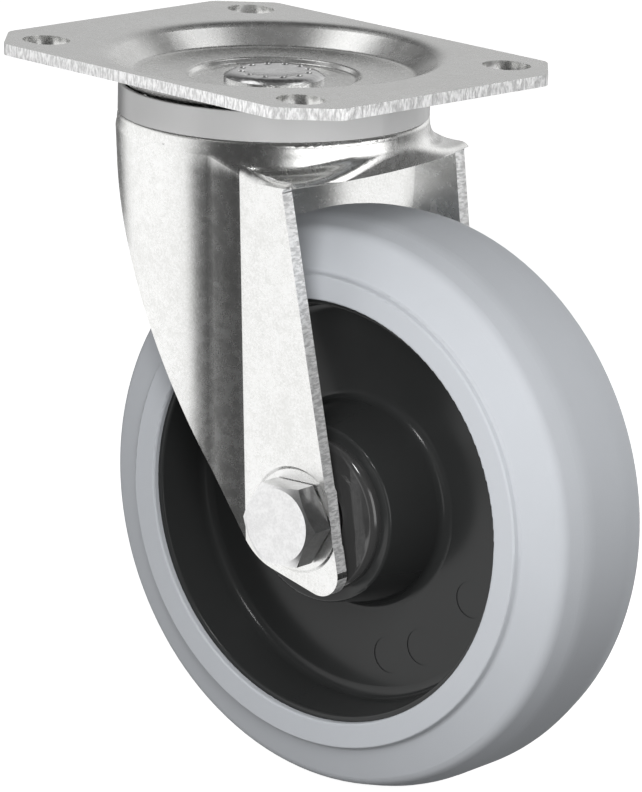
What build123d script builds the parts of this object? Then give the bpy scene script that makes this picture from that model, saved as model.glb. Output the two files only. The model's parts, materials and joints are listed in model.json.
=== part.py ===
from build123d import *
from math import cos, pi, radians, tan
import os

# Swivel castor: bolted top plate, pressed steel fork, rubber-tyred wheel on ball bearings.
# Sizes are in millimetres. The centre of the plate's top face is the origin and lies on
# the swivel axis. The long side of the plate runs along X and the wheel is below it.

# ---- whole castor -----------------------------------------------------------------
wheel_diameter = 125.0
tyre_width = 38.0
trail = 30.0                  # swivel axis to axle, measured level
swivel_rest_angle = 8.0       # how far the fork stands turned from the plate's long side
tyre_head_gap = 4.7           # between the tyre and the king pin above it
tyre_leg_gap = 5.0            # between each side of the tyre and the leg beside it

# ---- top plate --------------------------------------------------------------------
plate_length = 105.0
plate_width = 80.0
plate_thickness = 2.5
corner_cut = 10.0             # each corner is cut off this far along both edges
corner_blend = 4.0
slot_spacing_long = 80.0
slot_spacing_short = 60.0
slot_length = 11.0
slot_width = 9.0
dish_depth = 4.6              # pressed hollow that carries the upper ball track
dish_floor_radius = 30.0
dish_mouth_radius = 36.5
dish_margin = 3.0             # from the mouth of the dish to where the plate lies flat
dish_floor_bend = 2.0
dish_mouth_bend = 6.0
recess_depth = 1.2            # second, shallower hollow for the rivet head
recess_room = 7.8             # between the rivet head and the edge of that hollow
recess_slope = 1.2
recess_bend = 1.0

# ---- king pin ---------------------------------------------------------------------
neck_radius = 6.5             # part of the pin that passes through the plate
shank_step = 2.0              # the shank is this much wider all round than the neck
rivet_head_step = 4.4         # and so is the peened head
rivet_head_wall = 0.8
rivet_head_height = 2.0
rivet_ring_inset = 3.5        # highest ring of the head, measured in from its edge
rivet_head_dip = 0.5
rivet_dent_count = 12         # dents left by the peening tool, on that ring
rivet_dent_radius = 1.5
rivet_dent_depth = 0.45
pin_flange_step = 3.5         # width of the flange that carries the ball cup
pin_flange_thickness = 3.0
pin_flange_bevel = 0.8

# ---- swivel ball tracks -----------------------------------------------------------
upper_ball_diameter = 6.35
upper_track_radius = 26.0
upper_ball_sink = 0.425       # how far an upper ball sinks into the plate and into the crown
lower_ball_diameter = 5.0
lower_track_radius = 15.5
lower_ball_sink = 0.35
ball_spacing = 0.4            # least gap between two balls of a row
ball_clearance = 0.05         # between a ball and its groove
cup_thickness = 2.2
cup_rim_thickness = 1.6
cup_rim_gap = 1.0             # between the rim of the cup and the crown
cup_ball_room = 0.9           # between the balls and the rim of the cup
cup_bend = 1.8

# ---- seal ring --------------------------------------------------------------------
seal_overlap = 0.8            # the seal reaches this far above the underside of the dish floor
seal_wall = 0.9
seal_floor = 1.0
seal_inset = 0.1              # the seal stands back this far from the edge of the crown
seal_ball_gap = 0.625
seal_edge_blend = 0.3

# ---- fork -------------------------------------------------------------------------
sheet_thickness = 3.2
wall_draft = 3.3              # degrees that the walls lean in towards the bottom
crown_radius = 33.6
crown_edge_bend = 1.2
crown_hole_room = 3.0         # all round the shank of the king pin
crown_wall_height = 1.4       # upright wall of the crown above the flare
flare_radius = 5.4            # hollow sweep from the crown wall out to the shoulder
shoulder_bend = 2.4
skirt_height = 8.0            # from the crown down to the lower edge of its skirt
front_wall_reach = 0.4        # the round front wall stands out this far past the crown
front_wall_end = 9.0          # where the front wall turns in towards the leg
rear_wall_reach = 0.8         # the middle of the bowed rear wall stands out this far past the crown
rear_wall_radius = 130.0
rear_corner_bend = 2.8
leg_flat_start = 16.5         # where the flat of the leg begins
leg_flat_bend = 12.0
leg_root_front = -27.0        # front of a leg where it leaves the skirt
leg_front_blend = 9.0
leg_rear_blend = 1.0
leg_front_bow = 1.3           # height of the arc of the leg's front edge
leg_foot_radius = 12.6        # rounding of the leg about the axle
leg_foot_offset = 3.2         # that rounding's centre, in front of the axle
leg_toe_radius = 5.0          # rounding of the rear lower corner of the leg
leg_toe_reach = 6.2           # that corner's centre, behind the axle
leg_toe_drop = 10.7           # and below it
seat_room = 1.2               # from the corners of the hexagon to the edge of the flat seat
seat_slope = 1.2              # sloped edge of that seat

# ---- axle -------------------------------------------------------------------------
bolt_diameter = 10.0
bolt_play = 0.1               # all round, in the legs and in the sleeve
bolt_stand_out = 0.6          # length of the bolt that shows past the nut
bolt_end_bevel = 1.0
hexagon_shoulder = 3.5        # from the bolt's surface to a flat of its head or nut
hexagon_bevel_angle = 30.0
hexagon_face_ratio = 0.94     # round end face of a hexagon, over its width across flats
bolt_washer_face = 0.4
bolt_head_height = 6.4
nut_height = 7.6
nut_collar_height = 2.4
nut_collar_wall = 1.1
nut_collar_blend = 1.0
nut_insert_wall = 1.6
nut_insert_height = 2.6
nut_insert_cover = 0.3        # metal rolled over the outer face of the insert
sleeve_wall = 0.9
spacer_wall = 2.0

# ---- wheel bearings ---------------------------------------------------------------
bearing_depth = 10.0          # from the bore of a bearing to its outside
bearing_width = 10.0
bearing_setback = 1.5         # from the end of the hub to the bearing in it
bearing_ball_count = 7
race_shoulder_depth = 2.9     # thickness of a race beside its groove
race_floor = 1.975            # thickness of a race behind its groove
race_edge_blend = 0.5
shield_thickness = 0.4
shield_setback = 0.4
shield_gap = 0.3
cage_thickness = 1.8
cage_end_gap = 0.6            # between the cage and the shields

# ---- wheel body -------------------------------------------------------------------
hub_stand_out = 0.5           # each end of the hub stands out this far past the tyre
hub_wall = 2.4                # ring of plastic round a hub cap
hub_boss_draft = 3.0          # the hub grows this much wider towards the web
hub_bore_step = 2.5           # shoulder that a bearing rests against
hub_edge_blend = 0.7
rim_setback = 1.5             # each side of the rim lies this far inside the tyre
rim_lock_height = 4.0         # ridge that keys the tyre to the rim
rim_lock_width = 17.0
rim_lock_slope = 2.5
rim_land_width = 1.2          # flat edge of the rim beside the tyre
rim_wall_draft = 1.4
rim_edge_blend = 0.5
web_thickness = 8.6
web_blend = 2.5
mould_mark_diameter = 8.0     # round inserts of the mould, seen on the near side of the web
mould_mark_radius = 34.2
mould_mark_angles = (-76, -60, -29)
mould_mark_depth = 0.2

# ---- tyre -------------------------------------------------------------------------
tyre_depth = 16.5             # from the tread to the rim
lip_width = 5.4               # raised flat ring beside the rim
lip_step = 1.6
lip_draft = 0.5
lip_edge_blend = 0.5
lip_foot_blend = 1.0
shoulder_inset = 5.2          # rounded corner between side and tread
shoulder_drop = 2.0
shoulder_blend = 3.5
tread_width = 14.0
tread_blend = 12.0

# ---- hub caps ---------------------------------------------------------------------
cap_edge = 1.0                # the cap reaches this far past the bearing
cap_wall = 1.2
cap_height = 3.7
cap_edge_blend = 1.4
cap_hole_gap = 0.4

# ---- swivel head: radii and levels worked out from the sizes above ----------------
shank_radius = neck_radius + shank_step
rivet_head_radius = neck_radius + rivet_head_step
rivet_ring_radius = rivet_head_radius - rivet_ring_inset
pin_flange_radius = shank_radius + pin_flange_step
recess_radius = rivet_head_radius + recess_room
crown_hole_radius = shank_radius + crown_hole_room
upper_track_gap = upper_ball_diameter - 2 * upper_ball_sink
lower_track_gap = lower_ball_diameter - 2 * lower_ball_sink
upper_groove_radius = upper_ball_diameter / 2 + ball_clearance
lower_groove_radius = lower_ball_diameter / 2 + ball_clearance
upper_ball_count = int(2 * pi * upper_track_radius / (upper_ball_diameter + ball_spacing))
lower_ball_count = int(2 * pi * lower_track_radius / (lower_ball_diameter + ball_spacing))
dish_floor_top = -dish_depth
dish_floor_under = dish_floor_top - plate_thickness
recess_top = dish_floor_top - recess_depth
recess_under = recess_top - plate_thickness
crown_top = dish_floor_under - upper_track_gap
crown_under = crown_top - sheet_thickness
cup_top = crown_under - lower_track_gap
cup_under = cup_top - cup_thickness
pin_bottom = cup_under - pin_flange_thickness
upper_ball_level = (dish_floor_under + crown_top) / 2
lower_ball_level = (crown_under + cup_top) / 2

# ---- fork, axle and bearings: radii, faces and levels -----------------------------
tyre_radius = wheel_diameter / 2
tyre_face = tyre_width / 2
axle_level = pin_bottom - tyre_head_gap - tyre_radius
leg_inner = tyre_face + tyre_leg_gap
leg_outer = leg_inner + sheet_thickness
fork_bottom = axle_level - leg_toe_drop - leg_toe_radius
fork_reach = 2 * (trail + leg_toe_reach + leg_toe_radius)
flare_top = crown_top - crown_wall_height
shoulder_top = flare_top - flare_radius
flare_end = crown_radius + flare_radius
skirt_bottom = crown_top - skirt_height
bolt_radius = bolt_diameter / 2
bolt_hole_radius = bolt_radius + bolt_play
hexagon_inner_radius = bolt_radius + hexagon_shoulder
nut_end = leg_outer + nut_height + nut_collar_height
sleeve_radius = bolt_hole_radius + sleeve_wall
spacer_radius = sleeve_radius + spacer_wall
bearing_radius = sleeve_radius + bearing_depth
bearing_track_radius = sleeve_radius + bearing_depth / 2
bearing_ball_pitch = 360 / bearing_ball_count
race_groove_radius = bearing_depth / 2 - race_floor
bearing_ball_radius = race_groove_radius - ball_clearance
inner_race_shoulder = sleeve_radius + race_shoulder_depth
outer_race_shoulder = bearing_radius - race_shoulder_depth
hub_face = tyre_face + hub_stand_out
bearing_outer_face = hub_face - bearing_setback
bearing_inner_face = bearing_outer_face - bearing_width
bearing_middle = bearing_outer_face - bearing_width / 2
cap_radius = bearing_radius + cap_edge

# ---- planes of the fork and of the axle -------------------------------------------
fork_plan = Plane.XY.rotated((0, 0, swivel_rest_angle))
fork_side = Plane((0, 0, 0), x_dir=fork_plan.x_dir, z_dir=-fork_plan.y_dir)
axle_centre = fork_plan.from_local_coords(Vector(trail, 0, axle_level))
axle_axis = Axis(axle_centre, fork_plan.y_dir)
wheel_middle = Plane(axle_centre, z_dir=fork_plan.y_dir)
# Section through the axle: first coordinate along the axle, second one outwards.
axle_section = Plane(axle_centre, x_dir=fork_plan.y_dir, z_dir=fork_plan.x_dir)
# View along the axle from the near side, where the head of the bolt is.
axle_view = Plane(axle_centre, x_dir=fork_plan.x_dir, z_dir=-fork_plan.y_dir)


def round_corner(outline, corner, radius):
    """Round the corner of the outline that lies nearest to the given point."""
    fillet(outline.vertices().sort_by_distance(corner)[:1], radius)


def hexagon_bevel(foot, height, mode):
    """Cone that takes the corners off a hexagon standing on the plane foot."""
    face_radius = hexagon_inner_radius * hexagon_face_ratio
    foot_radius = face_radius + height / tan(radians(hexagon_bevel_angle))
    with Locations(foot):
        Cone(foot_radius, face_radius, height, align=(Align.CENTER, Align.CENTER, Align.MIN), mode=mode)


def lean_walls(block, outline, height):
    """Raise an outline of the fork, with walls that lean in towards the bottom."""
    extrude(outline, amount=height)
    draft(block.faces().filter_by(Axis.Z, reverse=True), fork_plan.offset(flare_top), -wall_draft)


def trim_to_flare(depth):
    """Keep what lies under the flare of the crown, or that deep inside its sheet."""
    with BuildSketch(fork_side) as region:
        with BuildLine():
            CenterArc((flare_end, flare_top), flare_radius + depth, 180, 90)
            Polyline(
                (crown_radius - depth, flare_top),
                (crown_radius - depth, crown_top),
                (0, crown_top),
                (0, fork_bottom),
                (2 * fork_reach, fork_bottom),
                (2 * fork_reach, shoulder_top - depth),
                (flare_end, shoulder_top - depth),
            )
        make_face()
    revolve(region.sketch, axis=Axis.Z, mode=Mode.INTERSECT)


os.makedirs("parts", exist_ok=True)

# ---- top plate: flat sheet with four slots and a pressed double dish --------------
dish_outer_radius = dish_mouth_radius + dish_margin
with BuildPart() as top_plate:
    with BuildSketch():
        Rectangle(plate_length, plate_width)
        chamfer(vertices(), corner_cut)
        fillet(vertices(), corner_blend)
        Circle(dish_outer_radius, mode=Mode.SUBTRACT)
        with GridLocations(slot_spacing_long, slot_spacing_short, 2, 2):
            SlotOverall(slot_length, slot_width, mode=Mode.SUBTRACT)
    extrude(amount=-plate_thickness)
    with BuildSketch(Plane.XZ):
        with BuildLine() as dish_line:
            Polyline(
                (neck_radius, recess_top),
                (recess_radius - recess_slope, recess_top),
                (recess_radius, dish_floor_top),
                (dish_floor_radius, dish_floor_top),
                (dish_mouth_radius, 0),
                (dish_outer_radius, 0),
            )
            fillet(dish_line.vertices().sort_by(Axis.X)[1:3], recess_bend)
            round_corner(dish_line, (dish_floor_radius, dish_floor_top), dish_floor_bend)
            round_corner(dish_line, (dish_mouth_radius, 0), dish_mouth_bend)
            offset(amount=plate_thickness, side=Side.RIGHT)
        make_face()
        with Locations((upper_track_radius, upper_ball_level)):
            Circle(upper_groove_radius, mode=Mode.SUBTRACT)
    revolve(axis=Axis.Z)
top_plate.part.label = "top_plate"
export_step(top_plate.part, "parts/top_plate.step")

# ---- king pin: flanged below, riveted over in the recess of the plate -------------
with BuildPart() as king_pin:
    with BuildSketch(Plane.XZ) as pin_section:
        with BuildLine():
            Polyline(
                (0, recess_top + rivet_head_height - rivet_head_dip),
                (0, pin_bottom),
                (pin_flange_radius, pin_bottom),
                (pin_flange_radius, cup_under),
                (shank_radius, cup_under),
                (shank_radius, recess_under),
                (neck_radius, recess_under),
                (neck_radius, recess_top),
                (rivet_head_radius, recess_top),
                (rivet_head_radius, recess_top + rivet_head_wall),
            )
            head_edge = (rivet_head_radius, recess_top + rivet_head_wall)
            head_ring = (rivet_ring_radius, recess_top + rivet_head_height)
            head_middle = (0, recess_top + rivet_head_height - rivet_head_dip)
            TangentArc(head_ring, head_edge, tangent=(1, 0))
            TangentArc(head_middle, head_ring, tangent=(1, 0))
        make_face()
        round_corner(pin_section, (pin_flange_radius, pin_bottom), pin_flange_bevel)
    revolve(axis=Axis.Z)
    with Locations((0, 0, recess_top + rivet_head_height - rivet_dent_depth)):
        with PolarLocations(rivet_ring_radius, rivet_dent_count):
            Sphere(rivet_dent_radius, align=(Align.CENTER, Align.CENTER, Align.MIN), mode=Mode.SUBTRACT)
king_pin.part.label = "king_pin"
export_step(king_pin.part, "parts/king_pin.step")

# ---- upper row of balls: between the dish of the plate and the fork crown ---------
with BuildPart() as upper_balls:
    with Locations((0, 0, upper_ball_level)):
        with PolarLocations(upper_track_radius, upper_ball_count):
            Sphere(upper_ball_diameter / 2)
upper_balls.part.label = "upper_balls"
export_step(upper_balls.part, "parts/upper_balls.step")

# ---- lower row of balls: between the fork crown and the ball cup ------------------
with BuildPart() as lower_balls:
    with Locations((0, 0, lower_ball_level)):
        with PolarLocations(lower_track_radius, lower_ball_count):
            Sphere(lower_ball_diameter / 2)
lower_balls.part.label = "lower_balls"
export_step(lower_balls.part, "parts/lower_balls.step")

# ---- ball cup: pressed ring that sits on the flange of the king pin ---------------
cup_inner_radius = lower_track_radius + lower_ball_diameter / 2 + cup_ball_room
cup_outer_radius = cup_inner_radius + cup_rim_thickness
cup_rim_top = crown_under - cup_rim_gap
with BuildPart() as ball_cup:
    with BuildSketch(Plane.XZ) as cup_section:
        with BuildLine():
            Polyline(
                (shank_radius, cup_under),
                (cup_outer_radius, cup_under),
                (cup_outer_radius, cup_rim_top),
                (cup_inner_radius, cup_rim_top),
                (cup_inner_radius, cup_top),
                (shank_radius, cup_top),
                close=True,
            )
        make_face()
        round_corner(cup_section, (cup_outer_radius, cup_under), cup_bend)
        with Locations((lower_track_radius, lower_ball_level)):
            Circle(lower_groove_radius, mode=Mode.SUBTRACT)
    revolve(axis=Axis.Z)
ball_cup.part.label = "ball_cup"
export_step(ball_cup.part, "parts/ball_cup.step")

# ---- seal ring: plastic collar that stands on the crown and hides the balls -------
seal_radius = crown_radius - seal_inset
seal_foot_radius = upper_track_radius + upper_ball_diameter / 2 + seal_ball_gap
seal_top = dish_floor_under + seal_overlap
with BuildPart() as seal_ring:
    with BuildSketch(Plane.XZ) as seal_section:
        with BuildLine():
            Polyline(
                (seal_foot_radius, crown_top),
                (seal_radius, crown_top),
                (seal_radius, seal_top),
                (seal_radius - seal_wall, seal_top),
                (seal_radius - seal_wall, crown_top + seal_floor),
                (seal_foot_radius, crown_top + seal_floor),
                close=True,
            )
        make_face()
        round_corner(seal_section, (seal_radius, seal_top), seal_edge_blend)
    revolve(axis=Axis.Z)
seal_ring.part.label = "seal_ring"
export_step(seal_ring.part, "parts/seal_ring.step")

# ---- fork: outlines in plan of its legs and of its crown, at the foot of the flare -
wall_radius = crown_radius + front_wall_reach
wall_side = (wall_radius**2 - front_wall_end**2) ** 0.5
flat_side = leg_outer + (flare_top - axle_level) * tan(radians(wall_draft))
rear_wall_centre = crown_radius + rear_wall_reach - rear_wall_radius
rear_corner = rear_wall_centre + (rear_wall_radius**2 - flat_side**2) ** 0.5
crown_depth = skirt_height + 2 * shoulder_bend
with BuildSketch(fork_plan.offset(fork_bottom)) as leg_outside:
    Circle(wall_radius)
    with Locations((front_wall_end, 0)):
        Rectangle(fork_reach, 2 * fork_reach, align=(Align.MIN, Align.CENTER), mode=Mode.SUBTRACT)
    Polygon(
        (front_wall_end, wall_side),
        (leg_flat_start, flat_side),
        (leg_flat_start, -flat_side),
        (front_wall_end, -wall_side),
        align=None,
    )
    with Locations((leg_flat_start, 0)):
        Rectangle(fork_reach - leg_flat_start, 2 * flat_side, align=(Align.MIN, Align.CENTER))
    for side in (1, -1):
        round_corner(leg_outside, (front_wall_end, side * wall_side), leg_flat_bend)
        round_corner(leg_outside, (leg_flat_start, side * flat_side), leg_flat_bend)
with BuildSketch(fork_plan.offset(fork_bottom)) as leg_inside:
    offset(leg_outside.sketch_local, amount=-sheet_thickness)
with BuildSketch(fork_plan.offset(crown_top - crown_depth)) as crown_outside:
    add(leg_outside.sketch_local)
    with Locations((rear_wall_centre, 0)):
        Circle(rear_wall_radius, mode=Mode.INTERSECT)
    for side in (1, -1):
        round_corner(crown_outside, (rear_corner, side * flat_side), rear_corner_bend)
with BuildSketch(fork_plan.offset(crown_top - crown_depth)) as crown_inside:
    offset(crown_outside.sketch_local, amount=-sheet_thickness)

# ---- fork: outline seen from the side ---------------------------------------------
leg_root_rear = rear_corner - rear_corner_bend
foot_centre = (trail - leg_foot_offset, axle_level)
foot_front = (trail - leg_foot_offset - leg_foot_radius, axle_level)
with BuildSketch(fork_side) as fork_outline:
    with BuildLine():
        Line((0, skirt_bottom), (leg_root_rear, skirt_bottom))
        SagittaArc((leg_root_front, skirt_bottom), foot_front, -leg_front_bow)
        CenterArc(foot_centre, leg_foot_radius, 0, 360)
        CenterArc((trail + leg_toe_reach, axle_level - leg_toe_drop), leg_toe_radius, 0, 360)
    make_hull()
    with Locations((0, skirt_bottom)):
        Rectangle(2 * fork_reach, skirt_height, align=(Align.CENTER, Align.MIN))
    round_corner(fork_outline, (leg_root_front, skirt_bottom), leg_front_blend)
    round_corner(fork_outline, (leg_root_rear, skirt_bottom), leg_rear_blend)

# ---- fork: crown, a drawn cup with a flared shoulder over the legs -----------------
with BuildPart() as crown_hollow:
    lean_walls(crown_hollow, crown_inside.sketch, crown_depth - sheet_thickness)
    trim_to_flare(sheet_thickness)

with BuildPart() as crown:
    lean_walls(crown, crown_outside.sketch, crown_depth)
    trim_to_flare(0)
    shoulder = crown.edges().filter_by_position(Axis.Z, shoulder_top, flare_top, (True, False))
    fillet(shoulder.sort_by(SortBy.LENGTH)[-1], shoulder_bend)
    fillet(crown.faces().sort_by(Axis.Z)[-1].edges(), crown_edge_bend)
    add(crown_hollow.part, mode=Mode.SUBTRACT)
    split(bisect_by=fork_plan.offset(skirt_bottom))

# ---- fork: seats for the axle, pressed level into the leaning legs ----------------
seat_radius = hexagon_inner_radius / cos(pi / 6) + seat_room
seat_foot_radius = seat_radius + seat_slope
with BuildPart() as seats:
    with BuildSketch(axle_section):
        with BuildLine():
            Polyline(
                (leg_inner, 0),
                (leg_inner, seat_radius),
                (leg_inner + seat_slope, seat_foot_radius),
                (leg_outer - seat_slope, seat_foot_radius),
                (leg_outer, seat_radius),
                (leg_outer, 0),
                close=True,
            )
        make_face()
        mirror(about=Plane.YZ)
    revolve(axis=axle_axis)

with BuildPart() as seat_clearance:
    with BuildSketch(axle_section):
        for face, rim in ((leg_inner, leg_inner - seat_slope), (leg_outer, leg_outer + seat_slope)):
            Polygon((face, 0), (face, seat_radius), (rim, seat_foot_radius), (rim, 0), align=None)
        mirror(about=Plane.YZ)
    revolve(axis=axle_axis)

# ---- fork: pressed from one sheet, round in front, two flat legs behind -----------
with BuildPart() as leg_hollow:
    lean_walls(leg_hollow, leg_inside.sketch, skirt_bottom - fork_bottom)

with BuildPart() as fork:
    lean_walls(fork, leg_outside.sketch, skirt_bottom - fork_bottom)
    add(leg_hollow.part, mode=Mode.SUBTRACT)
    add(seat_clearance.part, mode=Mode.SUBTRACT)
    add(seats.part)
    add(crown.part)
    extrude(fork_outline.sketch, amount=fork_reach, both=True, mode=Mode.INTERSECT)
    with BuildSketch(fork_plan.offset(crown_top)):
        Circle(crown_hole_radius)
    extrude(amount=-sheet_thickness, mode=Mode.SUBTRACT)
    with BuildSketch(fork_side):
        with Locations((upper_track_radius, upper_ball_level)):
            Circle(upper_groove_radius)
        with Locations((lower_track_radius, lower_ball_level)):
            Circle(lower_groove_radius)
    revolve(axis=Axis.Z, mode=Mode.SUBTRACT)
    with BuildSketch(axle_view):
        Circle(bolt_hole_radius)
    extrude(amount=leg_outer, both=True, mode=Mode.SUBTRACT)
fork.part.label = "fork"
export_step(fork.part, "parts/fork.step")
# ---- axle bolt: hexagon head on the near side -------------------------------------
with BuildPart() as axle_bolt:
    with BuildSketch(axle_view.offset(leg_outer)):
        RegularPolygon(hexagon_inner_radius, 6, major_radius=False)
    extrude(amount=bolt_head_height)
    hexagon_bevel(axle_view.offset(leg_outer), bolt_head_height, Mode.INTERSECT)
    with BuildSketch(axle_view.offset(leg_outer)):
        Circle(2 * hexagon_inner_radius)
        Circle(hexagon_inner_radius * hexagon_face_ratio, mode=Mode.SUBTRACT)
    extrude(amount=bolt_washer_face, mode=Mode.SUBTRACT)
    with BuildSketch(axle_view.offset(leg_outer)):
        Circle(bolt_radius)
    extrude(amount=-leg_outer - nut_end - bolt_stand_out)
    chamfer(axle_bolt.faces().sort_by(axle_axis)[-1].edges(), bolt_end_bevel)
axle_bolt.part.label = "axle_bolt"
export_step(axle_bolt.part, "parts/axle_bolt.step")

# ---- lock nut on the far side, with a collar that holds a nylon ring --------------
nut_insert_radius = bolt_radius + nut_insert_wall
nut_collar_radius = nut_insert_radius + nut_collar_wall
with BuildPart() as axle_nut:
    with BuildSketch(axle_view.offset(-leg_outer)):
        RegularPolygon(hexagon_inner_radius, 6, major_radius=False)
    extrude(amount=-nut_height)
    hexagon_bevel(-axle_view.offset(-leg_outer), nut_height, Mode.INTERSECT)
    with BuildSketch(axle_view.offset(-leg_outer - nut_height)):
        Circle(nut_collar_radius)
    extrude(amount=-nut_collar_height)
    fillet(axle_nut.faces().sort_by(axle_axis)[-1].edges(), nut_collar_blend)
    with BuildSketch(axle_view.offset(-leg_outer)):
        Circle(bolt_radius)
    extrude(amount=leg_outer - nut_end, mode=Mode.SUBTRACT)
    with BuildSketch(axle_view.offset(nut_insert_cover - nut_end)):
        Circle(nut_insert_radius)
    extrude(amount=nut_insert_height, mode=Mode.SUBTRACT)
axle_nut.part.label = "axle_nut"
export_step(axle_nut.part, "parts/axle_nut.step")

with BuildPart() as nut_insert:
    with BuildSketch(axle_view.offset(nut_insert_cover - nut_end)):
        Circle(nut_insert_radius)
        Circle(bolt_radius, mode=Mode.SUBTRACT)
    extrude(amount=nut_insert_height)
nut_insert.part.label = "nut_insert"
export_step(nut_insert.part, "parts/nut_insert.step")

# ---- axle sleeve: steel tube clamped between the legs -----------------------------
with BuildPart() as axle_sleeve:
    with BuildSketch(axle_view):
        Circle(sleeve_radius)
        Circle(bolt_hole_radius, mode=Mode.SUBTRACT)
    extrude(amount=leg_inner, both=True)
axle_sleeve.part.label = "axle_sleeve"
export_step(axle_sleeve.part, "parts/axle_sleeve.step")

# ---- spacers on the sleeve: one between the bearings, one at each leg -------------
with BuildPart() as middle_spacer:
    with BuildSketch(axle_view):
        Circle(spacer_radius)
        Circle(sleeve_radius, mode=Mode.SUBTRACT)
    extrude(amount=bearing_inner_face, both=True)
middle_spacer.part.label = "middle_spacer"
export_step(middle_spacer.part, "parts/middle_spacer.step")

with BuildPart() as near_spacer:
    with BuildSketch(axle_view.offset(bearing_outer_face)):
        Circle(spacer_radius)
        Circle(sleeve_radius, mode=Mode.SUBTRACT)
    extrude(amount=leg_inner - bearing_outer_face)
near_spacer.part.label = "near_spacer"
export_step(near_spacer.part, "parts/near_spacer.step")

with BuildPart() as far_spacer:
    mirror(near_spacer.part, about=wheel_middle)
far_spacer.part.label = "far_spacer"
export_step(far_spacer.part, "parts/far_spacer.step")

# ---- wheel bearings: two grooved ball bearings, one near and one far --------------
with BuildPart() as near_inner_race:
    with BuildSketch(axle_section) as inner_race_section:
        with Locations((-bearing_middle, sleeve_radius)):
            Rectangle(bearing_width, inner_race_shoulder - sleeve_radius, align=(Align.CENTER, Align.MIN))
        fillet(inner_race_section.vertices(), race_edge_blend)
        with Locations((-bearing_middle, bearing_track_radius)):
            Circle(race_groove_radius, mode=Mode.SUBTRACT)
    revolve(axis=axle_axis)
near_inner_race.part.label = "near_inner_race"
export_step(near_inner_race.part, "parts/near_inner_race.step")

with BuildPart() as far_inner_race:
    mirror(near_inner_race.part, about=wheel_middle)
far_inner_race.part.label = "far_inner_race"
export_step(far_inner_race.part, "parts/far_inner_race.step")

with BuildPart() as near_outer_race:
    with BuildSketch(axle_section) as outer_race_section:
        with Locations((-bearing_middle, bearing_radius)):
            Rectangle(bearing_width, bearing_radius - outer_race_shoulder, align=(Align.CENTER, Align.MAX))
        fillet(outer_race_section.vertices(), race_edge_blend)
        with Locations((-bearing_middle, bearing_track_radius)):
            Circle(race_groove_radius, mode=Mode.SUBTRACT)
    revolve(axis=axle_axis)
near_outer_race.part.label = "near_outer_race"
export_step(near_outer_race.part, "parts/near_outer_race.step")

with BuildPart() as far_outer_race:
    mirror(near_outer_race.part, about=wheel_middle)
far_outer_race.part.label = "far_outer_race"
export_step(far_outer_race.part, "parts/far_outer_race.step")

with BuildPart() as near_bearing_balls:
    with Locations(axle_view.offset(bearing_middle)):
        with PolarLocations(bearing_track_radius, bearing_ball_count, bearing_ball_pitch / 2):
            Sphere(bearing_ball_radius)
near_bearing_balls.part.label = "near_bearing_balls"
export_step(near_bearing_balls.part, "parts/near_bearing_balls.step")

with BuildPart() as far_bearing_balls:
    mirror(near_bearing_balls.part, about=wheel_middle)
far_bearing_balls.part.label = "far_bearing_balls"
export_step(far_bearing_balls.part, "parts/far_bearing_balls.step")

cage_face = bearing_width / 2 - shield_setback - shield_thickness - cage_end_gap
with BuildPart() as near_cage:
    with BuildSketch(axle_view.offset(bearing_middle)):
        Circle(bearing_track_radius + cage_thickness / 2)
        Circle(bearing_track_radius - cage_thickness / 2, mode=Mode.SUBTRACT)
    extrude(amount=cage_face, both=True)
    with Locations(axle_view.offset(bearing_middle)):
        with PolarLocations(bearing_track_radius, bearing_ball_count, bearing_ball_pitch / 2):
            Cylinder(race_groove_radius, 2 * cage_thickness, rotation=(0, 90, 0), mode=Mode.SUBTRACT)
near_cage.part.label = "near_cage"
export_step(near_cage.part, "parts/near_cage.step")

with BuildPart() as far_cage:
    mirror(near_cage.part, about=wheel_middle)
far_cage.part.label = "far_cage"
export_step(far_cage.part, "parts/far_cage.step")

# ---- bearing shields: thin discs held in the outer races --------------------------
with BuildPart() as near_outer_shield:
    with BuildSketch(axle_view.offset(bearing_outer_face - shield_setback)):
        Circle(outer_race_shoulder)
        Circle(inner_race_shoulder + shield_gap, mode=Mode.SUBTRACT)
    extrude(amount=-shield_thickness)
near_outer_shield.part.label = "near_outer_shield"
export_step(near_outer_shield.part, "parts/near_outer_shield.step")

with BuildPart() as near_inner_shield:
    mirror(near_outer_shield.part, about=axle_view.offset(bearing_middle))
near_inner_shield.part.label = "near_inner_shield"
export_step(near_inner_shield.part, "parts/near_inner_shield.step")

with BuildPart() as far_outer_shield:
    mirror(near_outer_shield.part, about=wheel_middle)
far_outer_shield.part.label = "far_outer_shield"
export_step(far_outer_shield.part, "parts/far_outer_shield.step")

with BuildPart() as far_inner_shield:
    mirror(near_inner_shield.part, about=wheel_middle)
far_inner_shield.part.label = "far_inner_shield"
export_step(far_inner_shield.part, "parts/far_inner_shield.step")

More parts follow.
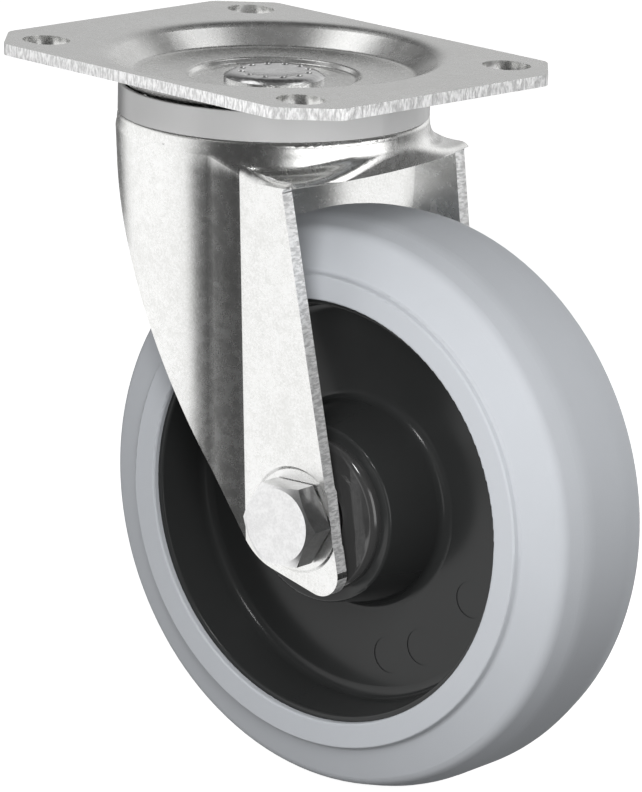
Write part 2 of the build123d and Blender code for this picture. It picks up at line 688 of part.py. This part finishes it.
# ---- rim: moulded in one piece with the web and the hub ---------------------------
rim_radius = tyre_radius - tyre_depth
rim_face = tyre_face - rim_setback
lock_radius = rim_radius + rim_lock_height
lock_face = rim_lock_width / 2
web_face = web_thickness / 2
hub_bore_radius = bearing_radius - hub_bore_step
hub_boss_radius = cap_radius + hub_wall
hub_foot_radius = hub_boss_radius + hub_boss_draft
rim_wall_radius = rim_radius - rim_land_width
rim_foot_radius = rim_wall_radius - rim_wall_draft
with BuildPart() as rim:
    with BuildSketch(axle_section) as rim_section:
        with BuildLine():
            Polyline(
                (0, hub_bore_radius),
                (bearing_inner_face, hub_bore_radius),
                (bearing_inner_face, bearing_radius),
                (bearing_outer_face, bearing_radius),
                (bearing_outer_face, cap_radius),
                (hub_face, cap_radius),
                (hub_face, hub_boss_radius),
                (web_face, hub_foot_radius),
                (web_face, rim_foot_radius),
                (rim_face, rim_wall_radius),
                (rim_face, rim_radius),
                (lock_face + rim_lock_slope, rim_radius),
                (lock_face, lock_radius),
                (0, lock_radius),
                close=True,
            )
        make_face()
        round_corner(rim_section, (hub_face, hub_boss_radius), hub_edge_blend)
        round_corner(rim_section, (web_face, hub_foot_radius), web_blend)
        round_corner(rim_section, (web_face, rim_foot_radius), web_blend)
        round_corner(rim_section, (rim_face, rim_wall_radius), rim_edge_blend)
        mirror(about=Plane.YZ)
    revolve(axis=axle_axis)
    with BuildSketch(axle_view.offset(web_face)):
        for angle in mould_mark_angles:
            with PolarLocations(mould_mark_radius, 1, angle):
                Circle(mould_mark_diameter / 2)
    extrude(amount=-mould_mark_depth, mode=Mode.SUBTRACT)
rim.part.label = "rim"
export_step(rim.part, "parts/rim.step")

# ---- tyre: rubber moulded onto the rim, with a raised lip on each side ------------
lip_radius = rim_radius + lip_width
lip_foot = (tyre_face - lip_step, lip_radius + lip_draft)
tyre_shoulder = (tyre_face - shoulder_inset, tyre_radius - shoulder_drop)
with BuildPart() as tyre:
    with BuildSketch(axle_section) as tyre_section:
        with BuildLine():
            Polyline(
                (0, lock_radius),
                (lock_face, lock_radius),
                (lock_face + rim_lock_slope, rim_radius),
                (tyre_face, rim_radius),
                (tyre_face, lip_radius),
                lip_foot,
                tyre_shoulder,
                (tread_width / 2, tyre_radius),
                (0, tyre_radius),
                close=True,
            )
        make_face()
        round_corner(tyre_section, (tyre_face, rim_radius), lip_edge_blend)
        round_corner(tyre_section, (tyre_face, lip_radius), lip_edge_blend)
        round_corner(tyre_section, lip_foot, lip_foot_blend)
        round_corner(tyre_section, tyre_shoulder, shoulder_blend)
        round_corner(tyre_section, (tread_width / 2, tyre_radius), tread_blend)
        mirror(about=Plane.YZ)
    revolve(axis=axle_axis)
tyre.part.label = "tyre"
export_step(tyre.part, "parts/tyre.step")

# ---- hub caps: plastic covers pressed into the ends of the hub --------------------
cap_face = bearing_outer_face + cap_height
with BuildPart() as near_cap:
    with BuildSketch(axle_section) as cap_section:
        with BuildLine():
            Polyline(
                (-bearing_outer_face, cap_radius),
                (-cap_face, cap_radius),
                (-cap_face, spacer_radius + cap_hole_gap),
                (-cap_face + cap_wall, spacer_radius + cap_hole_gap),
                (-cap_face + cap_wall, cap_radius - cap_wall),
                (-bearing_outer_face, cap_radius - cap_wall),
                close=True,
            )
        make_face()
        round_corner(cap_section, (-cap_face, cap_radius), cap_edge_blend)
    revolve(axis=axle_axis)
near_cap.part.label = "near_cap"
export_step(near_cap.part, "parts/near_cap.step")

with BuildPart() as far_cap:
    mirror(near_cap.part, about=wheel_middle)
far_cap.part.label = "far_cap"
export_step(far_cap.part, "parts/far_cap.step")
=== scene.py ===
"""Looks of the swivel castor: materials, studio light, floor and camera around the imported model.

Everything is in metres in the row frame: the centre of the plate's top face is the origin, +Z
points up along the swivel axis and +X along the plate's long side.
"""
import json
import math
from collections import namedtuple

import bpy
from mathutils import Matrix, Vector


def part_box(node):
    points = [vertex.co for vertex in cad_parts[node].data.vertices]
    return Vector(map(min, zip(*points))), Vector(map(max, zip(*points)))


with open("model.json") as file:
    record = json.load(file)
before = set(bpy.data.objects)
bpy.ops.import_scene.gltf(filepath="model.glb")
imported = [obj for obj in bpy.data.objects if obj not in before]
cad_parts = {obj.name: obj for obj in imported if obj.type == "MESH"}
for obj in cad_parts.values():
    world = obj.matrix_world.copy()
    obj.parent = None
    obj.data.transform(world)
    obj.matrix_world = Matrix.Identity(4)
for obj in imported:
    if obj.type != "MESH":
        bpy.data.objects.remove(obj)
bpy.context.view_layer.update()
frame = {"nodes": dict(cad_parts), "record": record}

MM = 0.001

# ---- places taken from the frame ---------------------------------------------------------
JOINTS = {joint["name"]: joint for joint in frame["record"]["behaviour"]["joints"]}
AXLE_CENTRE = Vector(JOINTS["wheel_spin"]["pos_m"])
AXLE_AXIS = Vector(JOINTS["wheel_spin"]["axis"])
FORK_TURN = math.atan2(-AXLE_AXIS.x, AXLE_AXIS.y)
FLOOR_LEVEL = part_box("tyre")[0].z

# ---- places on the pressed parts, where their material changes ---------------------------
PLATE_THICKNESS = 2.5 * MM
PLATE_END = 52.5 * MM                # the plate's edges, from its middle
PLATE_SIDE = 40.0 * MM
PLATE_CORNER = 82.5 * MM             # its cut corners lie where x and y add up to this
EDGE_MARGIN = 1.0 * MM
LEG_INNER = 24.0 * MM                # faces of a leg, level with the axle
LEG_OUTER = 27.2 * MM
LEG_LEAN = 0.0577                    # how much further out they are for each step up
SKIRT_LEVEL = -20.6 * MM             # lower edge of the fork's skirt
SKIRT_MARGIN = 0.3 * MM
FLARE_FOOT = SKIRT_LEVEL + 6.0 * MM
CREASE_START = 2.8 * MM              # the sheet sinks from the round front to the flat of a leg
CREASE_END = 16.4 * MM
CREASE_BOW = 10.6                    # depth of that crease, over the square of its width

# Start and end of soft steps from 0 to 1, along one part of the surface normal.
UPRIGHT = (0.45, 0.25)               # Z, from a lying face to an upright one
SLANTED = (0.10, 0.14)               # Z, from a leaning wall of the fork to a slanted edge
ENDWAYS = (0.50, 0.35)               # Y, from the face of a leg to its edge
FACING_DOWN = (-0.8, -0.9)           # Z
FACING_OUT = (0.3, 0.5)              # Y, away from the wheel

# The same across the thickness of a sheared edge, from its clean side to its torn one, and for
# the distance from the level of the skirt's edge.
TORN_IN_PLATE = (-0.5 * PLATE_THICKNESS, -0.8 * PLATE_THICKNESS)
TORN_IN_LEG = (LEG_OUTER - 1.2 * MM, LEG_INNER + 1.0 * MM)
AT_SKIRT = (0.2 * MM, 0.1 * MM)

# ---- grain of the surfaces: cells in a metre, and depth -----------------------------------
Grain = namedtuple("Grain", "scale detail roughness depth", defaults=(0.0,))
ZINC_CLOUDS = Grain(55, 4, 0.6)
ZINC_BLOTCHES = Grain(420, 3, 0.7, 0.02 * MM)
FINE_GRAIN = Grain(1900, 2, 0.7, 0.02 * MM)
TEARS = Grain(1800, 3, 0.6, 0.30 * MM)
METAL_CLOUDS = Grain(380, 3, 0.7)
POLISHED_GRAIN = Grain(900, 2, 0.7, 0.002 * MM)
PEENED_GRAIN = Grain(700, 2, 0.7, 0.12 * MM)
FLOW_CLOUDS = Grain(90, 4, 0.6)
MOULD_SKIN = Grain(1500, 3, 0.6)
BLOTCH_SHARE = 0.6                   # blotches in the mottle of zinc, over its clouds
SPECK_SHARE = 0.35                   # fine grain in its tone, over that mottle
METAL_SPECK_SHARE = 0.4
TONE_SPREAD = 0.12                   # grain this far from its middle has its full tone
GLOSS_SPREAD = 0.15
GRAIN_STRENGTH = 0.5
TEAR_STRENGTH = 0.8

# ---- zinc-plated sheet: linear colours, roughness and share of bare metal ------------------
ZINC_DARK = (0.78, 0.78, 0.7644, 1.0)
ZINC_LIGHT = (0.92, 0.92, 0.9108, 1.0)
ZINC_ROUGHNESS = (0.24, 0.29)
TORN_DARK = 0.60
TORN_LIGHT = 0.98
TORN_ROUGHNESS = (0.30, 0.42)
TORN_METALLIC = 0.5
METAL_DARKENING = 0.85               # darkest tone of plain metal, over its lightest

# ---- studio ------------------------------------------------------------------------------
# Panels of light far round the castor. Their places, half sizes and soft borders are in degrees.
# Azimuth 0 is in front of the plate's long side, and 90 is off the end where the wheel trails.
Panel = namedtuple("Panel", "azimuth half_width elevation half_height softness strength")
PANELS = [
    Panel(-54, 43, -32, 68, 12, 1.3),    # round front and flat of the near leg, and the bolt
    Panel(98, 38, 9, 20, 5, 2.4),        # highlight on the flare of the crown
    Panel(-150, 32, 15, 25, 12, 0.62),   # top of the plate
    Panel(-80, 20, 61, 10, 5, 1.8),      # two highlights on the wall of the dish
    Panel(173, 13, 61, 10, 5, 1.8),
    Panel(175, 25, 18, 14, 12, 0.6),     # two fills from behind
    Panel(-170, 25, -22, 30, 15, 0.45),
    Panel(0, 200, 90, 20, 10, 0.17),     # and one from overhead
    Panel(38, 6, 48, 6, 3, 26.0),        # small lamp: thin arcs on the rim, hub and cap
]
BASE_LIGHT = 0.07                    # the dim room between the panels
MATT_SHARE = 0.55                    # share of the studio's light that matt surfaces get
# Soft lamps: place from the axle, along the fork, and power.
LAMPS = {
    "near_lamp": ((0.11, -0.20, 0.08), 0.42),
    "far_lamp": ((0.10, 0.24, 0.06), 0.35),
}
LAMP_SIZE = 0.14
FLOOR_SIZE = 12.0
FLOOR_TONE = 0.5
FLOOR_ROUGHNESS = 0.9
FLOOR_GLOW = 0.9

# ---- camera ------------------------------------------------------------------------------
CAMERA_AZIMUTH = math.radians(46.246)
CAMERA_ELEVATION = math.radians(14.320)
CAMERA_ROLL = math.radians(1.328)
CAMERA_DISTANCE = 1.2921             # from the axle, along the line of sight
AXLE_RIGHT_OF_VIEW = 0.01152         # where the axle lies, off the line of sight
AXLE_BELOW_VIEW = 0.02126
CAMERA_LENS = 273.495
SENSOR_HEIGHT = 36.0


# ---- node helpers --------------------------------------------------------------------------
class Tree:
    """The nodes of a material or world, with short calls that add one and fill its inputs."""

    def __init__(self, owner):
        owner.use_nodes = True
        self.nodes = owner.node_tree.nodes
        self.links = owner.node_tree.links
        self.nodes.clear()

    def put(self, socket, value):
        """Link an output to a socket, or set it to a value. None leaves it as it is."""
        if isinstance(value, bpy.types.NodeSocket):
            self.links.new(value, socket)
        elif value is not None:
            socket.default_value = value

    def add(self, kind, inputs=None, **properties):
        """A new node. Its inputs go by their names or numbers."""
        node = self.nodes.new(kind)
        for name, value in properties.items():
            setattr(node, name, value)
        for socket, value in (inputs or {}).items():
            self.put(node.inputs[socket], value)
        return node

    def math(self, operation, *values):
        return self.add("ShaderNodeMath", dict(enumerate(values)), operation=operation).outputs[0]

    def absolute(self, value):
        return self.math("ABSOLUTE", value)

    def product(self, first, *others):
        for other in others:
            first = self.math("MULTIPLY", first, other)
        return first

    def smooth(self, value, start, end):
        """0 on the side of start, 1 on the side of end and a soft step between them."""
        inputs = {"Value": value, "From Min": start, "From Max": end}
        return self.add("ShaderNodeMapRange", inputs, interpolation_type="SMOOTHSTEP").outputs[0]

    def contrast(self, grain, spread):
        """Grain around 0.5, spread out to run from 0 to 1."""
        return self.smooth(grain, 0.5 - spread, 0.5 + spread)

    def split(self, vector):
        """The X, Y and Z of a vector."""
        return self.add("ShaderNodeSeparateXYZ", {0: vector}).outputs

    def noise(self, where, grain):
        inputs = {
            "Vector": where,
            "Scale": grain.scale,
            "Detail": grain.detail,
            "Roughness": grain.roughness,
        }
        return self.add("ShaderNodeTexNoise", inputs).outputs["Fac"]

    def mix(self, share, first, second):
        """Colour between first and second."""
        inputs = {0: share, 6: first, 7: second}
        return self.add("ShaderNodeMix", inputs, data_type="RGBA").outputs[2]

    def blend(self, share, first, second):
        """Number between first and second."""
        inputs = {0: share, 2: first, 3: second}
        return self.add("ShaderNodeMix", inputs, data_type="FLOAT").outputs[0]

    def bump(self, height, distance, strength, under=None):
        """Surface normal tilted by a height, on top of another bump."""
        inputs = {"Height": height, "Distance": distance, "Strength": strength, "Normal": under}
        return self.add("ShaderNodeBump", inputs).outputs[0]


def new_material(name):
    """A fresh material, its tree, its shader's inputs and the coordinates of its surface."""
    material = bpy.data.materials.new(name)
    tree = Tree(material)
    shader = tree.add("ShaderNodeBsdfPrincipled")
    output = tree.add("ShaderNodeOutputMaterial", {"Surface": shader.outputs[0]})
    output.is_active_output = True
    place = tree.add("ShaderNodeTexCoord")
    return material, tree, shader.inputs, place.outputs


def grey(tone):
    return (tone, tone, tone, 1.0)


def shade(colour, factor):
    """A colour made that much lighter or darker."""
    return tuple(factor * part for part in colour) + (1.0,)


# ---- zinc-plated sheet ---------------------------------------------------------------------
def sheet_zinc(name, edge_share, edge_depth, tear_stretch, pressed_height=None):
    """Zinc-plated sheet steel: mottled satin faces, and matt torn metal on its sheared edges.

    edge_share(tree, place) gives 1 on a sheared edge, edge_depth the place across its thickness
    and pressed_height the height of a pressed face. The tears are drawn out along the axis that
    has the smallest tear_stretch.
    """
    material, tree, shader, place = new_material(name)
    where = place["Object"]
    drawn_out = tree.add("ShaderNodeMapping", {"Vector": where, "Scale": tear_stretch}).outputs[0]
    cloud = tree.noise(where, ZINC_CLOUDS)
    blotch = tree.noise(where, ZINC_BLOTCHES)
    speck = tree.noise(where, FINE_GRAIN)
    tear = tree.noise(drawn_out, TEARS)
    mottle = tree.blend(BLOTCH_SHARE, cloud, blotch)
    edge = edge_share(tree, place)

    zinc_tone = tree.contrast(tree.blend(SPECK_SHARE, mottle, speck), TONE_SPREAD)
    zinc_colour = tree.mix(zinc_tone, ZINC_DARK, ZINC_LIGHT)
    torn_colour = tree.mix(tree.contrast(tear, TONE_SPREAD), grey(TORN_DARK), grey(TORN_LIGHT))
    tree.put(shader["Base Color"], tree.mix(edge, zinc_colour, torn_colour))
    tree.put(shader["Metallic"], tree.blend(edge, 1.0, TORN_METALLIC))
    zinc_rough = tree.blend(tree.contrast(mottle, GLOSS_SPREAD), *ZINC_ROUGHNESS)
    torn_rough = tree.blend(edge_depth(tree, place), *TORN_ROUGHNESS)
    tree.put(shader["Roughness"], tree.blend(edge, zinc_rough, torn_rough))

    pressed = None
    if pressed_height:
        pressed = tree.bump(pressed_height(tree, place), 1.0, 1.0)
    fine = tree.bump(speck, FINE_GRAIN.depth, GRAIN_STRENGTH, pressed)
    wavy = tree.bump(blotch, ZINC_BLOTCHES.depth, GRAIN_STRENGTH, fine)
    ragged = tree.bump(tree.product(edge, tear), TEARS.depth, TEAR_STRENGTH, wavy)
    tree.put(shader["Normal"], ragged)
    return material


def plate_edge(tree, place):
    """1 on the outer edge of the plate, and 0 on its faces and inside its slots."""
    facing = tree.split(place["Normal"])
    spot = tree.split(place["Object"])
    x = tree.absolute(spot["X"])
    y = tree.absolute(spot["Y"])
    across = tree.math("ADD", x, y)
    upright = tree.smooth(tree.absolute(facing["Z"]), *UPRIGHT)
    at_end = tree.smooth(x, PLATE_END - 2 * EDGE_MARGIN, PLATE_END - EDGE_MARGIN)
    at_side = tree.smooth(y, PLATE_SIDE - 2 * EDGE_MARGIN, PLATE_SIDE - EDGE_MARGIN)
    at_corner = tree.smooth(across, PLATE_CORNER - 3 * EDGE_MARGIN, PLATE_CORNER - 2 * EDGE_MARGIN)
    outside = tree.math("MAXIMUM", tree.math("MAXIMUM", at_end, at_side), at_corner)
    return tree.product(upright, outside)


def plate_depth(tree, place):
    """0 at the top of the plate's edge and 1 in its torn lower part."""
    z = tree.split(place["Object"])["Z"]
    return tree.smooth(z, *TORN_IN_PLATE)


def in_fork(tree, vector):
    """The X, Y and Z of a vector, along the fork instead of along the plate."""
    inputs = {"Vector": vector, "Angle": -FORK_TURN}
    turned = tree.add("ShaderNodeVectorRotate", inputs, rotation_type="Z_AXIS")
    return tree.split(turned.outputs[0])


def fork_edge(tree, place):
    """1 on the sheared edges of the fork: round the legs and along the lower edge of the skirt."""
    facing = in_fork(tree, place["Normal"])
    height = in_fork(tree, place["Object"])["Z"]
    below_skirt = tree.smooth(height, SKIRT_LEVEL + SKIRT_MARGIN, SKIRT_LEVEL - SKIRT_MARGIN)
    slanted = tree.smooth(tree.absolute(facing["Z"]), *SLANTED)
    endways = tree.smooth(tree.absolute(facing["Y"]), *ENDWAYS)
    leg_edge = tree.product(below_skirt, slanted, endways)
    off_skirt = tree.absolute(tree.math("SUBTRACT", height, SKIRT_LEVEL))
    at_skirt = tree.smooth(off_skirt, *AT_SKIRT)
    skirt_edge = tree.product(tree.smooth(facing["Z"], *FACING_DOWN), at_skirt)
    return tree.math("MAXIMUM", leg_edge, skirt_edge)


def fork_depth(tree, place):
    """0 on the outer side of a leg's edge and 1 on its torn inner side."""
    spot = in_fork(tree, place["Object"])
    lean = tree.product(tree.math("SUBTRACT", spot["Z"], AXLE_CENTRE.z), LEG_LEAN)
    out = tree.math("SUBTRACT", tree.absolute(spot["Y"]), lean)
    return tree.smooth(out, *TORN_IN_LEG)


def fork_crease(tree, place):
    """Height of the sheet's outer face, which sinks towards the flat of each leg."""
    spot = in_fork(tree, place["Object"])
    facing = in_fork(tree, place["Normal"])
    past_start = tree.math("MAXIMUM", tree.math("SUBTRACT", spot["X"], CREASE_START), 0.0)
    past = tree.math("MINIMUM", past_start, CREASE_END - CREASE_START)
    below_flare = tree.smooth(spot["Z"], FLARE_FOOT, SKIRT_LEVEL)
    outwards = tree.product(facing["Y"], tree.math("SIGN", spot["Y"]))
    return tree.product(past, past, -CREASE_BOW, below_flare, tree.smooth(outwards, *FACING_OUT))


# ---- plain metal, plastic and rubber -------------------------------------------------------
def plain_metal(name, tone, roughness, grain=FINE_GRAIN):
    """Bare or plated metal with a fine mottle in its tone and gloss."""
    material, tree, shader, place = new_material(name)
    cloud = tree.noise(place["Object"], METAL_CLOUDS)
    speck = tree.noise(place["Object"], grain)
    mottle = tree.contrast(tree.blend(METAL_SPECK_SHARE, cloud, speck), TONE_SPREAD)
    colour = tree.mix(mottle, grey(tone * METAL_DARKENING), grey(tone))
    tree.put(shader["Base Color"], colour)
    tree.put(shader["Metallic"], 1.0)
    tree.put(shader["Roughness"], tree.blend(cloud, *roughness))
    tree.put(shader["Normal"], tree.bump(speck, grain.depth, GRAIN_STRENGTH))
    return material


def moulded(name, colour, spread, roughness, grain_depth, specular=0.5):
    """Moulded plastic or rubber: faint flow clouds, fine skin grain and uneven gloss."""
    material, tree, shader, place = new_material(name)
    cloud = tree.noise(place["Object"], FLOW_CLOUDS)
    skin = tree.noise(place["Object"], MOULD_SKIN)
    clouded = tree.mix(cloud, shade(colour, 1 - spread), shade(colour, 1 + spread))
    tree.put(shader["Base Color"], clouded)
    tree.put(shader["Roughness"], tree.blend(cloud, *roughness))
    tree.put(shader["Specular IOR Level"], specular)
    tree.put(shader["Normal"], tree.bump(skin, grain_depth, GRAIN_STRENGTH))
    return material


# ---- materials on the nodes ----------------------------------------------------------------
def dress(material, *node_names):
    """Put a material on these nodes."""
    for node_name in node_names:
        for slot in frame["nodes"][node_name].material_slots:
            slot.material = material


dress(sheet_zinc("plate_zinc", plate_edge, plate_depth, (1.0, 1.0, 0.3)), "top_plate")
dress(sheet_zinc("fork_zinc", fork_edge, fork_depth, (1.0, 0.25, 1.0), fork_crease), "fork")
dress(plain_metal("bolt_zinc", 0.88, (0.24, 0.36)), "axle_bolt", "axle_nut", "ball_cup")
dress(plain_metal("peened_steel", 0.85, (0.10, 0.30), PEENED_GRAIN), "king_pin")
dress(
    plain_metal("turned_steel", 0.60, (0.25, 0.35)),
    "axle_sleeve", "middle_spacer", "near_spacer", "far_spacer",
)
dress(
    plain_metal("ball_steel", 0.75, (0.06, 0.10), POLISHED_GRAIN),
    "upper_balls", "lower_balls", "near_bearing_balls", "far_bearing_balls",
)
dress(
    plain_metal("bearing_steel", 0.62, (0.15, 0.25)),
    "near_inner_race", "far_inner_race", "near_outer_race", "far_outer_race",
    "near_cage", "far_cage",
    "near_outer_shield", "near_inner_shield", "far_outer_shield", "far_inner_shield",
)
dress(
    moulded("seal_plastic", (0.49, 0.49, 0.49), 0.02, (0.16, 0.22), 0.008 * MM, specular=0.9),
    "seal_ring",
)
dress(moulded("insert_nylon", (0.62, 0.66, 0.70), 0.03, (0.4, 0.5), 0.01 * MM), "nut_insert")
dress(
    moulded("tyre_rubber", (0.50, 0.52, 0.55), 0.03, (0.55, 0.68), 0.03 * MM, specular=0.35),
    "tyre",
)
dress(
    moulded("rim_polyamide", (0.027, 0.028, 0.028), 0.08, (0.16, 0.23), 0.006 * MM, specular=0.32),
    "rim",
)
dress(
    moulded("cap_plastic", (0.040, 0.040, 0.040), 0.05, (0.08, 0.13), 0.002 * MM, specular=0.9),
    "near_cap", "far_cap",
)


# ---- studio, floor and camera --------------------------------------------------------------
def panel_light(tree, panel, azimuth, elevation):
    """Strength of one panel in the direction of that azimuth and elevation."""
    sideways = tree.math("WRAP", tree.math("SUBTRACT", azimuth, panel.azimuth), 180.0, -180.0)
    upwards = tree.math("SUBTRACT", elevation, panel.elevation)
    wide, high, soft = panel.half_width, panel.half_height, panel.softness
    across = tree.smooth(tree.absolute(sideways), wide + soft, wide - soft)
    along = tree.smooth(tree.absolute(upwards), high + soft, high - soft)
    return tree.product(across, along, panel.strength)


def light_studio():
    """World light: soft panels in a dim room, with a white ground that only the camera sees."""
    world = bpy.data.worlds.new("studio")
    bpy.context.scene.world = world
    tree = Tree(world)
    towards = tree.split(tree.add("ShaderNodeTexCoord").outputs["Generated"])
    forwards = tree.product(towards["Y"], -1.0)
    azimuth = tree.math("DEGREES", tree.math("ARCTAN2", towards["X"], forwards))
    elevation = tree.math("DEGREES", tree.math("ARCSINE", towards["Z"]))
    total = BASE_LIGHT
    for panel in PANELS:
        total = tree.math("ADD", panel_light(tree, panel, azimuth, elevation), total)
    paths = tree.add("ShaderNodeLightPath").outputs
    strength = tree.product(total, tree.blend(paths["Is Diffuse Ray"], 1.0, MATT_SHARE))
    light = tree.add("ShaderNodeBackground", {"Strength": strength}).outputs[0]
    backdrop = tree.add("ShaderNodeBackground", {"Color": grey(1.0), "Strength": 1.0}).outputs[0]
    seen = tree.add("ShaderNodeMixShader", {0: paths["Is Camera Ray"], 1: light, 2: backdrop})
    tree.add("ShaderNodeOutputWorld", {"Surface": seen.outputs[0]})


def hang_lamps():
    """Soft lamps near the wheel. Only matt surfaces catch them, so they leave no spot on metal."""
    for name, (place, power) in LAMPS.items():
        data = bpy.data.lights.new(name, "AREA")
        data.shape = "DISK"
        data.size = LAMP_SIZE
        data.energy = power
        lamp = bpy.data.objects.new(name, data)
        bpy.context.scene.collection.objects.link(lamp)
        reach = Matrix.Rotation(FORK_TURN, 3, "Z") @ Vector(place)
        lamp.location = AXLE_CENTRE + reach
        lamp.rotation_euler = (-reach).to_track_quat("-Z", "Y").to_euler()
        lamp.visible_camera = False
        lamp.visible_glossy = False


def lay_floor():
    """Pale floor under the tyre, which catches the castor's shadow and lights nothing itself."""
    bpy.ops.mesh.primitive_plane_add(size=FLOOR_SIZE, location=(0, 0, FLOOR_LEVEL))
    floor = bpy.context.object
    floor.name = "floor"
    paper, tree, shader, _ = new_material("floor_paper")
    tree.put(shader["Base Color"], grey(FLOOR_TONE))
    tree.put(shader["Roughness"], FLOOR_ROUGHNESS)
    tree.put(shader["Specular IOR Level"], 0.0)
    tree.put(shader["Emission Color"], grey(1.0))
    tree.put(shader["Emission Strength"], FLOOR_GLOW)
    floor.data.materials.append(paper)
    floor.visible_glossy = False
    floor.visible_diffuse = False
    floor.visible_shadow = False


def place_camera():
    """Long lens on the wheel, from above and from the side where the bolt's head is."""
    back = Vector((
        math.sin(CAMERA_AZIMUTH) * math.cos(CAMERA_ELEVATION),
        -math.cos(CAMERA_AZIMUTH) * math.cos(CAMERA_ELEVATION),
        math.sin(CAMERA_ELEVATION),
    ))
    level = Vector((math.cos(CAMERA_AZIMUTH), math.sin(CAMERA_AZIMUTH), 0))
    upright = back.cross(level)
    right = level * math.cos(CAMERA_ROLL) + upright * math.sin(CAMERA_ROLL)
    up = upright * math.cos(CAMERA_ROLL) - level * math.sin(CAMERA_ROLL)
    data = bpy.data.cameras.new("camera")
    data.sensor_fit = "VERTICAL"
    data.sensor_height = SENSOR_HEIGHT
    data.lens = CAMERA_LENS
    camera = bpy.data.objects.new("camera", data)
    bpy.context.scene.collection.objects.link(camera)
    off_axle = up * AXLE_BELOW_VIEW - right * AXLE_RIGHT_OF_VIEW + back * CAMERA_DISTANCE
    view = Matrix((right, up, back)).transposed().to_4x4()
    view.translation = AXLE_CENTRE + off_axle
    camera.matrix_world = view
    bpy.context.scene.camera = camera


light_studio()
hang_lamps()
lay_floor()
place_camera()
bpy.context.scene.view_settings.view_transform = "Standard"
